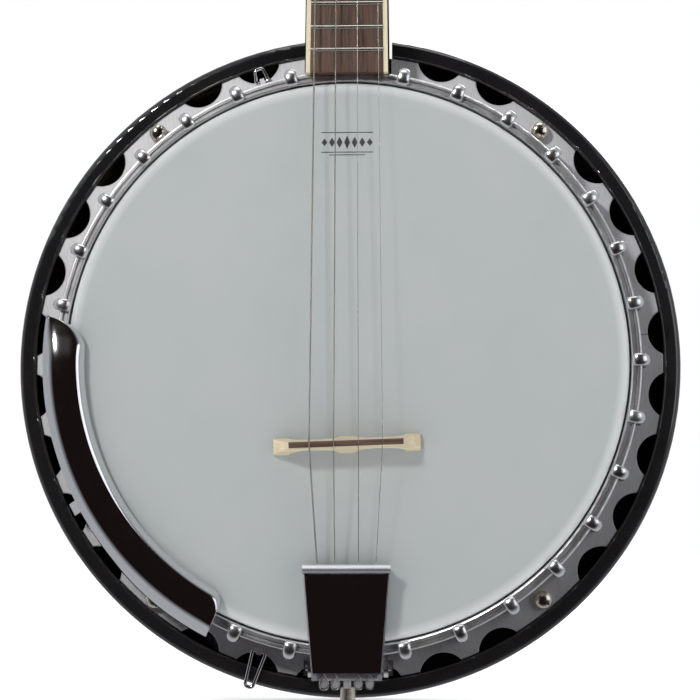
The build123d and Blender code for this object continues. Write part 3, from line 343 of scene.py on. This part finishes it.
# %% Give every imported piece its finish
FINISH_OF_SLOT = {
    "rim_maple": rim_maple, "brass_ring": ring_brass, "drum_skin": frosted_film,
    "flesh_aluminium": mill_aluminium, "hoop_chrome": hoop_chrome, "flange_nickel": satin_nickel,
    "hook_chrome": hook_chrome, "nut_chrome": chrome, "rod_steel": zinc_steel, "black_lacquer": black_lacquer,
    "lug_steel": zinc_steel, "tailpiece_chrome": chrome, "screw_nickel": warm_nickel,
    "armrest_chrome": chrome, "wire_chrome": chrome, "bridge_maple": bare_maple, "cap_ebony": dark_cap,
    "neck_lacquer": black_lacquer, "board_rosewood": rosewood, "cream_binding": cream_binding,
    "fret_nickel": fret_nickel, "pearl_marker": pearloid, "nut_bone": polished_bone,
    "cover_plastic": black_plastic, "tuner_chrome": chrome, "button_pearl": pearloid,
    "string_steel": plain_wire,
}
# The tailpiece's base is buffed, and its cover is the mirror that shows the dark front.
BUFFED = {"tailpiece_base": satin_chrome}
slot_of = {row["node"]: row["material_slot"] for row in frame["record"]["subparts"]}
for name, piece in nodes.items():
    piece.data.materials.clear()
    piece.data.materials.append(BUFFED.get(name, FINISH_OF_SLOT[slot_of[name]]))
print("finishes given:", len(nodes))


# %% [markdown]
# ## Tools for the pieces made here
#
# Round pieces are turned from a profile, as on a lathe, with the radius pressed in and out where a knurl
# runs. Wires are curves with a round section. Both end up as plain meshes, so nothing is left to evaluate.

# %% Meshes from turned profiles and from wires
def add_piece(name, mesh, material, angle=35.0):
    """Links a mesh as an object, smooth except at edges sharper than angle."""
    mesh.materials.clear()
    mesh.materials.append(material)
    for polygon in mesh.polygons:
        polygon.use_smooth = True
    mesh.set_sharp_from_angle(angle=math.radians(angle))
    piece = bpy.data.objects.new(name, mesh)
    bpy.context.scene.collection.objects.link(piece)
    return piece


def turned_mesh(name, profile, columns, knurl=None):
    """Turns (radius, height) points round local Z. knurl(turn, height) gives a factor for the radius."""
    bm = bmesh.new()
    rows = []
    for radius, height in profile:
        if radius == 0:
            rows.append([bm.verts.new((0, 0, height))])
            continue
        row = []
        for column in range(columns):
            turn = 2 * math.pi * column / columns
            out = radius * (knurl(turn, height) if knurl else 1.0)
            row.append(bm.verts.new((out * math.cos(turn), out * math.sin(turn), height)))
        rows.append(row)
    for low, high in zip(rows, rows[1:]):
        for column in range(columns):
            after = (column + 1) % columns
            corners = [low[column % len(low)], low[after % len(low)], high[after % len(high)],
                       high[column % len(high)]]
            unique = list(dict.fromkeys(corners))
            if len(unique) > 2:
                bm.faces.new(unique)
    bmesh.ops.recalc_face_normals(bm, faces=bm.faces)
    mesh = bpy.data.meshes.new(name)
    bm.to_mesh(mesh)
    bm.free()
    return mesh


def wire_mesh(name, points, radius, closed=False, sides=3):
    """A round wire along a smooth curve through given control points."""
    curve = bpy.data.curves.new(name, "CURVE")
    curve.dimensions = "3D"
    curve.bevel_depth = radius
    curve.bevel_resolution = sides
    curve.use_fill_caps = True
    spline = curve.splines.new("NURBS")
    spline.points.add(len(points) - 1)
    for place, point in zip(spline.points, points):
        place.co = (*point, 1.0)
    spline.order_u = 3
    spline.use_cyclic_u = closed
    spline.use_endpoint_u = not closed
    spline.resolution_u = 6
    holder = bpy.data.objects.new(name, curve)
    bpy.context.scene.collection.objects.link(holder)
    bpy.context.view_layer.update()
    mesh = bpy.data.meshes.new_from_object(holder.evaluated_get(bpy.context.evaluated_depsgraph_get()))
    bpy.data.objects.remove(holder)
    mesh.name = name
    return mesh


def cut_slot(mesh, width, depth, length, top):
    """Cuts a screwdriver's slot across the top of a turned mesh."""
    cutter_mesh = bpy.data.meshes.new("cutter")
    bm = bmesh.new()
    bmesh.ops.create_cube(bm, size=1.0)
    bmesh.ops.scale(bm, vec=(length, width, 2 * depth), verts=bm.verts)
    bmesh.ops.translate(bm, vec=(0, 0, top), verts=bm.verts)
    bm.to_mesh(cutter_mesh)
    bm.free()
    body = bpy.data.objects.new("slot_body", mesh)
    cutter = bpy.data.objects.new("slot_cutter", cutter_mesh)
    for holder in (body, cutter):
        bpy.context.scene.collection.objects.link(holder)
    boolean = body.modifiers.new("slot", "BOOLEAN")
    boolean.object = cutter
    boolean.solver = "EXACT"
    bpy.context.view_layer.update()
    result = bpy.data.meshes.new_from_object(body.evaluated_get(bpy.context.evaluated_depsgraph_get()))
    for holder in (body, cutter):
        bpy.data.objects.remove(holder)
    return result


# %% [markdown]
# ## Thumbscrews
#
# Four nickel thumbscrews hold the resonator on. Each head is a small domed drum with a coarse straight knurl
# and a slot. The knurl is pressed into the profile's radius, and fades out towards the dome, as it does under
# a knurling wheel. The slot is a boolean cut, because its square corners don't suit a turned grid.

# %% Turn the thumbscrews
KNURL_TEETH = 24


def knurl_between(low, high, teeth, depth, twist=0.0):
    """A knurl that is full between two heights: straight, or crossed if twist isn't 0."""
    def factor(turn, height):
        if not low <= height <= high:
            return 1.0
        wave = math.cos(teeth * turn)
        if twist:
            wave = math.cos(teeth * turn + twist * height) * math.cos(teeth * turn - twist * height)
        return 1.0 + depth * wave
    return factor


for number in (1, 2, 3, 4):
    node = f"thumbscrew_{number}"
    low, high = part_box(node)
    radius = (high.x - low.x) / 2
    shank = 2.4 * MM
    head = 5.6 * MM
    long = high.y - low.y
    profile = [(0, 0), (shank * 0.8, 0), (shank, 0.5 * MM), (shank, long - head - 0.01 * MM),
               (radius * 0.78, long - head), (radius * 0.95, long - head + 0.4 * MM)]
    profile += [(radius * 0.97, long - head + 0.6 * MM + 2.4 * MM * step / 6) for step in range(7)]
    profile += [(radius * 0.97 * math.cos(a), long - head + 3.2 * MM + 2.4 * MM * math.sin(a))
                for a in (math.radians(step * 10) for step in range(9))]
    profile.append((0, long))
    knurl = knurl_between(long - head + 0.5 * MM, long - head + 3.1 * MM, KNURL_TEETH, 0.03)
    mesh = turned_mesh(node + "_turned", profile, 144, knurl)
    mesh = cut_slot(mesh, 1.0 * MM, 1.1 * MM, 3 * radius, long)
    place = Vector(((low.x + high.x) / 2, high.y, (low.z + high.z) / 2))
    lean = Matrix.Rotation(math.radians(35 * number), 4, "Z")
    mesh.transform(Matrix.Translation(place) @ Matrix.Rotation(math.radians(90), 4, "X") @ lean)
    screw = add_piece(node + "_turned", mesh, warm_nickel, 40.0)
    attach(screw, node)
    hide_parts(node)
print("thumbscrews turned, head across, mm:", round(2 * radius / MM, 1))

# %% [markdown]
# ## The tailpiece's adjusting screw
#
# A knurled thumb nut under the tailpiece tips it, and so changes how hard the strings press on the bridge.
# Its knurl is crossed, so the profile's radius follows two waves that run against each other up the barrel.

# %% Turn the adjusting screw
low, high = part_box("adjusting_screw")
radius = (high.x - low.x) / 2
long = high.z - low.z
barrel = 10.0 * MM
shank = 1.95 * MM
rows = 24
profile = [(0, 0), (radius * 0.80, 0), (radius * 0.96, 0.5 * MM)]
profile += [(radius * 0.97, 0.7 * MM + (barrel - 1.4 * MM) * step / rows) for step in range(rows + 1)]
profile += [(radius * 0.96, barrel - 0.5 * MM), (radius * 0.80, barrel), (shank + 0.01 * MM, barrel),
            (shank, barrel + 0.1 * MM), (shank, long - 0.5 * MM), (shank * 0.7, long), (0, long)]
knurl = knurl_between(0.7 * MM, barrel - 0.7 * MM, 20, 0.035, 3200.0)
mesh = turned_mesh("adjusting_screw_turned", profile, 160, knurl)
mesh.transform(Matrix.Translation(((low.x + high.x) / 2, (low.y + high.y) / 2, low.z)))
screw = add_piece("adjusting_screw_turned", mesh, warm_nickel, 50.0)
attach(screw, "adjusting_screw")
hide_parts("adjusting_screw")
print("adjusting screw length, mm:", round(long / MM, 1))

# %% [markdown]
# ## The armrest
#
# The armrest is a chromed sheet, pressed into a long dome that follows the hoop, with its upper end drawn in
# to a teardrop and its outer edge turned down as a lip. A mirror shows every ripple of its mesh, so it is
# laid out as one even grid, by angle round the drum and by distance across the strip, and then thickened.

# %% Press the armrest
REST_START, REST_END = 171.5, 243.0
SHEET = 1.0 * MM
rest_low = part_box("armrest")[0]
rest_outer = 152.6 * MM
rest_inner = 131.0 * MM
LIP_START = rest_outer - 0.6 * MM
INNER_CURL, OUTER_CURL = 6.0, 3.2
dome_foot = -rest_low.y - 5.0 * MM


def eased(value, low, high):
    """0 below low, 1 above high, and a smooth step in between."""
    part = min(max((value - low) / (high - low), 0.0), 1.0)
    return part * part * (3 - 2 * part)


def inner_edge(angle):
    """The inner edge's radius: a teardrop at the upper end, a rounded corner at the lower one."""
    from_start = min(max((angle - REST_START) / 6.0, 0.0), 1.0)
    drawn_in = (1 - math.sqrt(1 - (1 - from_start) ** 2)) * (rest_outer - rest_inner)
    to_end = min(max((angle - (REST_END - 3.2)) / 3.2, 0.0), 1.0)
    corner = (1 - math.sqrt(1 - to_end ** 2)) * 9.0 * MM
    return rest_inner + drawn_in * 0.94 + corner


def on_drum(radius, depth, angle):
    """A point from its radius, its depth in front of the back, and its angle in degrees."""
    turn = math.radians(angle)
    return Vector((radius * math.cos(turn), -depth, radius * math.sin(turn)))


bm = bmesh.new()
across = 40
stations_round = 220
grid = []
for step in range(stations_round + 1):
    share = step / stations_round
    angle = REST_START + (REST_END - REST_START) * (share - 0.045 * math.sin(2 * math.pi * share))
    edge = inner_edge(angle)
    rise = 5.0 * MM * (0.35 + 0.65 * eased(angle, REST_START, REST_START + 9.0))
    row = []
    for place in range(across + 1):
        part = 0.5 - 0.5 * math.cos(math.pi * place / across)
        dome = 1 - abs(2 * part - 1) ** (INNER_CURL if part < 0.5 else OUTER_CURL)
        radius = edge + (LIP_START - edge) * part
        row.append(bm.verts.new(on_drum(radius, dome_foot + rise * dome, angle)))
    flare = 0.5 * MM + 1.9 * MM * eased(angle, 200.0, 236.0)
    for drop in (1.2, 2.6, 4.4, 6.4, 7.6):
        row.append(bm.verts.new(on_drum(LIP_START + flare * math.sin(math.pi / 2 * drop / 7.6),
                                        dome_foot - drop * MM, angle)))
    grid.append(row)
for row, after in zip(grid, grid[1:]):
    for place in range(len(row) - 1):
        bm.faces.new((row[place], row[place + 1], after[place + 1], after[place]))
bmesh.ops.recalc_face_normals(bm, faces=bm.faces)
middle_face = min(bm.faces, key=lambda face: face.calc_center_median().y)
if middle_face.normal.y > 0:
    bmesh.ops.reverse_faces(bm, faces=bm.faces)
mesh = bpy.data.meshes.new("armrest_pressed")
bm.to_mesh(mesh)
bm.free()
armrest = add_piece("armrest_pressed", mesh, chrome, 50.0)
solid = armrest.modifiers.new("sheet", "SOLIDIFY")
solid.thickness = SHEET
solid.offset = -1.0
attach(armrest, "root")
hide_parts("armrest")
print("armrest faces:", len(mesh.polygons))

# %% [markdown]
# ## Bracket hooks
#
# Thirty hooks reach over the hoop and pull it down. Each is a rod with its end hammered to a band and bent
# over. It is a chain of ellipses along the bend: flat and wide over the hoop, and round down the shank.

# %% Bend the hooks
# each station: radius, depth, half width, half thickness, in millimetres
HOOK_STATIONS = ((142.2, 86.95, 2.2, 0.35), (142.35, 87.5, 2.9, 0.7), (143.1, 88.1, 3.1, 0.95),
                 (144.6, 88.25, 3.1, 1.05), (146.6, 88.2, 3.1, 1.1), (148.2, 87.75, 3.0, 1.2),
                 (149.1, 86.7, 2.8, 1.4), (149.4, 85.2, 2.5, 1.6), (149.3, 83.2, 2.2, 1.8),
                 (149.0, 81.2, 2.1, 2.05),
                 (149.0, 78.0, 2.1, 2.1), (149.0, 50.6, 2.1, 2.1))
HOOK_SIDES = 20
hook_angles = [11.25 * step for step in range(32) if step not in (8, 24)]
bm = bmesh.new()
for angle in hook_angles:
    turn = math.radians(angle)
    outwards = Vector((math.cos(turn), 0, math.sin(turn)))
    sideways = Vector((-math.sin(turn), 0, math.cos(turn)))
    centres = [outwards * radius * MM + Vector((0, -depth * MM, 0))
               for radius, depth, wide, thick in HOOK_STATIONS]
    rings = []
    for index, (radius, depth, wide, thick) in enumerate(HOOK_STATIONS):
        ahead = centres[min(index + 1, len(centres) - 1)] - centres[max(index - 1, 0)]
        normal = sideways.cross(ahead.normalized())
        rings.append([bm.verts.new(centres[index] + sideways * wide * MM * math.cos(around_turn)
                                   + normal * thick * MM * math.sin(around_turn))
                      for around_turn in (2 * math.pi * side / HOOK_SIDES for side in range(HOOK_SIDES))])
    for near, far in zip(rings, rings[1:]):
        for side in range(HOOK_SIDES):
            after = (side + 1) % HOOK_SIDES
            bm.faces.new((near[side], near[after], far[after], far[side]))
    bm.faces.new(rings[0])
    bm.faces.new(rings[-1])
bmesh.ops.recalc_face_normals(bm, faces=bm.faces)
mesh = bpy.data.meshes.new("bracket_hooks_bent")
bm.to_mesh(mesh)
bm.free()
hooks = add_piece("bracket_hooks_bent", mesh, hook_chrome, 60.0)
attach(hooks, "root")
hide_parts("bracket_hooks")
print("hooks:", len(hook_angles))

# %% [markdown]
# ## Strings
#
# Each string runs from a tooth of the tailpiece under its rolled bar, over the bridge and the nut, to its
# tuner. The imported strings give the points where it turns, because a swept tube has its vertices only there.
# The two thick strings are wound.

# %% Find where each string turns
def stations(node, gap=4.0 * MM):
    """The middle of each group of the node's vertices, from the tail up."""
    places = sorted((vertex.co.copy() for vertex in nodes[node].data.vertices), key=lambda co: co.z)
    groups = [[places[0]]]
    for place in places[1:]:
        if place.z - groups[-1][-1].z > gap:
            groups.append([])
        groups[-1].append(place)
    return [sum(group, Vector()) / len(group) for group in groups]


def string_radius(node):
    """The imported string's radius, from its vertices at the tail."""
    lowest = stations(node)[0]
    near = [v.co for v in nodes[node].data.vertices if abs(v.co.z - lowest.z) < 1.0 * MM]
    return max(abs(co.x - lowest.x) for co in near)


routes = {number: stations(f"string_{number}") for number in (1, 2, 3, 4)}
for number, route in routes.items():
    print("string", number, "turns at z, mm:", [round(point.z / MM, 1) for point in route])


# %% Draw the strings
def with_turns(route, near=1.5 * MM):
    """Adds a point close before and after each turn, so that the curve stays straight in between."""
    points = [route[0]]
    for before, point, after in zip(route, route[1:], route[2:]):
        points.append(point + (before - point).normalized() * near)
        points.append(point)
        points.append(point + (after - point).normalized() * near)
    return points + [route[-1]]


for number, route in routes.items():
    node = f"string_{number}"
    radius = string_radius(node)
    wound = number in (1, 2)
    mesh = wire_mesh(f"{node}_wire", with_turns(route), radius)
    wire = add_piece(f"{node}_wire", mesh, wound_wire if wound else plain_wire, 60.0)
    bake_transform(wire)
    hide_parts(node)
    print(node, "radius, mm:", round(radius / MM, 2))

# %% [markdown]
# A banjo string ends in a small loop that hooks over a tooth of the tailpiece. The loop is one bent wire that
# dips over the comb's edge, goes round the tooth and comes back.

# %% Loops on the tailpiece's teeth
comb_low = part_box("tailpiece_base")[0]
for number, route in routes.items():
    tail = route[0]
    radius = string_radius(f"string_{number}")
    front = tail.y
    sunk = tail.y + 1.1 * MM
    half = 1.75 * MM + radius
    bottom = comb_low.z - radius - 0.1 * MM
    edge = tail.z - 3.9 * MM
    points = [(tail.x, front, tail.z + 1.5 * MM), (tail.x, front, tail.z - 0.5 * MM),
              (tail.x - half * 0.7, front - 0.1 * MM, tail.z - 2.6 * MM),
              (tail.x - half, front, edge), (tail.x - half, sunk, edge - 1.2 * MM),
              (tail.x - half, sunk, bottom + 1.0 * MM), (tail.x - half * 0.6, sunk, bottom - 0.2 * MM),
              (tail.x + half * 0.6, sunk, bottom - 0.2 * MM), (tail.x + half, sunk, bottom + 1.0 * MM),
              (tail.x + half, sunk, edge - 1.2 * MM), (tail.x + half, front, edge),
              (tail.x + half * 0.7, front - 0.1 * MM, tail.z - 2.6 * MM),
              (tail.x, front - 2 * radius, tail.z - 0.5 * MM)]
    loop_mesh = wire_mesh(f"string_loop_{number}", points, max(radius * 0.8, 1.5e-4))
    loop = add_piece(f"string_loop_{number}", loop_mesh,
                     plain_wire, 60.0)
    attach(loop, "tailpiece")
print("string loops made")

# %% [markdown]
# At its other end each string goes through its post and is wound a few times down the waist. The turns ride
# on the post, so they go round with it. The post's axis comes from its joint.

# %% Turns on the tuner posts
for number, route in routes.items():
    joint = joints[f"tuner_{number}_post"]
    axis = Vector(joint["axis"]).normalized()
    foot = Vector(joint["pos_m"])
    end = route[-1]
    height = (end - foot).dot(axis)
    across = (end - foot) - axis * height
    radius = string_radius(f"string_{number}")
    post = 2.5 * MM + radius
    side = across.normalized()
    ahead = axis.cross(side)
    turn_count = 3
    steps = 14 * turn_count
    pitch = max(2.05 * radius, 0.4 * MM)
    sign = 1.0 if ahead.dot(route[-1] - route[-2]) > 0 else -1.0
    points = []
    for step in range(steps + 1):
        turn = sign * 2 * math.pi * step / 14
        spot = foot + side * (post * 1.03 * math.cos(turn)) + ahead * (post * 1.03 * math.sin(turn))
        points.append(spot + axis * (height - pitch * step / 14))
    coil = add_piece(f"post_turns_{number}", wire_mesh(f"post_turns_{number}", points, radius),
                     plain_wire, 60.0)
    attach(coil, f"tuner_post_{number}")
print("posts wound, turns each:", turn_count)

# %% [markdown]
# ## The printed ornament
#
# A small dark ornament is printed on the head near the neck: here a plain row of lozenges between two lines.
# Ink has no thickness to speak of, so it is a sheet a twentieth of a millimetre above the film.

# %% Print the ornament
ink = polished("printing_ink", (0.035, 0.038, 0.042), 0.55, 0.0, 4e-6, (0.06, 0.063, 0.068))
ORNAMENT_Z = 110.0 * MM
INK_LIFT = 0.05 * MM
bm = bmesh.new()


def printed(corners):
    """A flat printed shape, from its (across, up) corners."""
    face_y = head_low.y - INK_LIFT
    bm.faces.new([bm.verts.new((x, face_y, ORNAMENT_Z + up)) for x, up in corners])


for column in range(-3, 4):
    tall = (3.4 - 0.5 * abs(column)) * MM
    wide = 1.5 * MM
    middle = column * 3.8 * MM
    printed([(middle - wide, 0), (middle, -tall), (middle + wide, 0), (middle, tall)])
for up, half in ((5.0, 13.0), (-5.0, 13.0), (-6.4, 9.0)):
    bar = 0.22 * MM
    printed([(-half * MM, up * MM - bar), (half * MM, up * MM - bar), (half * MM, up * MM + bar),
             (-half * MM, up * MM + bar)])
bmesh.ops.recalc_face_normals(bm, faces=bm.faces)
for face in bm.faces:
    if face.normal.y > 0:
        face.normal_flip()
mesh = bpy.data.meshes.new("head_ornament")
bm.to_mesh(mesh)
bm.free()
ornament = add_piece("head_ornament", mesh, ink)
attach(ornament, "root")
print("ornament faces:", len(mesh.polygons))

# %% [markdown]
# ## Floor, lights and camera
#
# The banjo stands upright on a pale floor, which glows more with distance so that it meets the white behind
# it without a line. Chrome shows whatever is around it, so the surroundings matter as much as the lamps:
# they are light grey to the sides and behind, and almost black in front, where a dark room and the viewer
# would be. That leaves the armrest and the tailpiece's cover dark, while the rougher hoop and flange gather
# light from the sides. The key light comes from the upper left and is small enough for the strings to throw
# faint shadows on the head.

# %% Floor
floor_mesh = bpy.data.meshes.new("floor")
bm = bmesh.new()
bmesh.ops.create_grid(bm, x_segments=1, y_segments=1, size=60.0)
bm.to_mesh(floor_mesh)
bm.free()
floor_mesh.transform(Matrix.Translation((0, 0, cad_box[0][2] - 0.5 * MM)))
floor_paint, tree, shader, where = finish("floor_paint", (0.72, 0.72, 0.71), 0.6)
shader.inputs["Emission Color"].default_value = (1.0, 1.0, 1.0, 1.0)
distance = tree.nodes.new("ShaderNodeVectorMath")
distance.operation = "LENGTH"
tree.links.new(tree.nodes.new("ShaderNodeTexCoord").outputs["Object"], distance.inputs[0])
NEAR_GLOW = 0.55
far_glow = blend_range(tree, distance.outputs["Value"], 0.6, 3.0, NEAR_GLOW, 1.0)
seen_glow = tree.nodes.new("ShaderNodeMix")
seen_glow.inputs["A"].default_value = NEAR_GLOW
tree.links.new(tree.nodes.new("ShaderNodeLightPath").outputs["Is Camera Ray"], seen_glow.inputs["Factor"])
tree.links.new(far_glow, seen_glow.inputs["B"])
tree.links.new(seen_glow.outputs["Result"], shader.inputs["Emission Strength"])
floor_tone = effect(tree, fine_grain, where, Grain_Scale=300.0)
tree.links.new(color_mix(tree, floor_tone["Cloud"], (0.70, 0.70, 0.69), (0.74, 0.74, 0.73)),
               shader.inputs["Base Color"])
floor = add_piece("floor", floor_mesh, floor_paint)
floor.visible_glossy = False

# %% Surroundings
world = bpy.data.worlds.new("studio")
bpy.context.scene.world = world
world.use_nodes = True
tree = world.node_tree
background = tree.nodes["Background"]
direction = tree.nodes.new("ShaderNodeTexCoord").outputs["Generated"]
axes = tree.nodes.new("ShaderNodeSeparateXYZ")
tree.links.new(direction, axes.inputs[0])
front = blend_range(tree, axes.outputs["Y"], -0.75, -0.30)
around_tone = color_mix(tree, front, (0.010, 0.006, 0.006), (0.42, 0.43, 0.45))
rays = tree.nodes.new("ShaderNodeLightPath")
seen = color_mix(tree, rays.outputs["Is Camera Ray"], around_tone, (1.0, 1.0, 1.0))
tree.links.new(seen, background.inputs["Color"])
background.inputs["Strength"].default_value = 1.0


# %% Lamps
def softbox(name, place, aim, size, power, color=(1.0, 1.0, 1.0)):
    """A square lamp that looks at a point."""
    lamp = bpy.data.lights.new(name, "AREA")
    lamp.size = size
    lamp.energy = power
    lamp.color = color
    holder = bpy.data.objects.new(name, lamp)
    holder.location = place
    holder.rotation_euler = (Vector(aim) - Vector(place)).to_track_quat("-Z", "Y").to_euler()
    bpy.context.scene.collection.objects.link(holder)
    return holder


softbox("key", (-1.1, -1.9, 1.2), (0, 0, 0.05), 0.35, 27.0, (1.0, 0.99, 0.97))
softbox("fill", (1.6, -1.6, 0.5), (0, 0, 0.0), 1.4, 7.0, (0.97, 0.98, 1.0))
softbox("top", (0.0, -0.5, 1.9), (0, 0, 0.0), 1.2, 6.0)
softbox("back", (0.6, 1.8, 1.3), (0, 0, 0.2), 1.5, 24.0)

# %% Camera
hoop_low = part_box("tension_hoop")[0]
aim = Vector((0, hoop_low.y, 0))
DISTANCE = 1.1
BELOW = math.radians(5.0)
RIGHT = math.radians(2.0)
camera_data = bpy.data.cameras.new("camera")
camera_data.sensor_width = 36.0
camera_data.lens = 113.4
camera_data.shift_x = 0.004
camera_data.shift_y = 0.015
camera_data.clip_start = 0.01
camera = bpy.data.objects.new("camera", camera_data)
offset = Vector((math.sin(RIGHT), -math.cos(RIGHT) * math.cos(BELOW), -math.sin(BELOW))) * DISTANCE
camera.location = aim + offset
camera.rotation_euler = (-offset).to_track_quat("-Z", "Y").to_euler()
bpy.context.scene.collection.objects.link(camera)
bpy.context.scene.camera = camera
bpy.context.scene.view_settings.view_transform = "Standard"
print("camera at, m:", [round(value, 3) for value in camera.location])

# %% The end
bpy.context.view_layer.update()
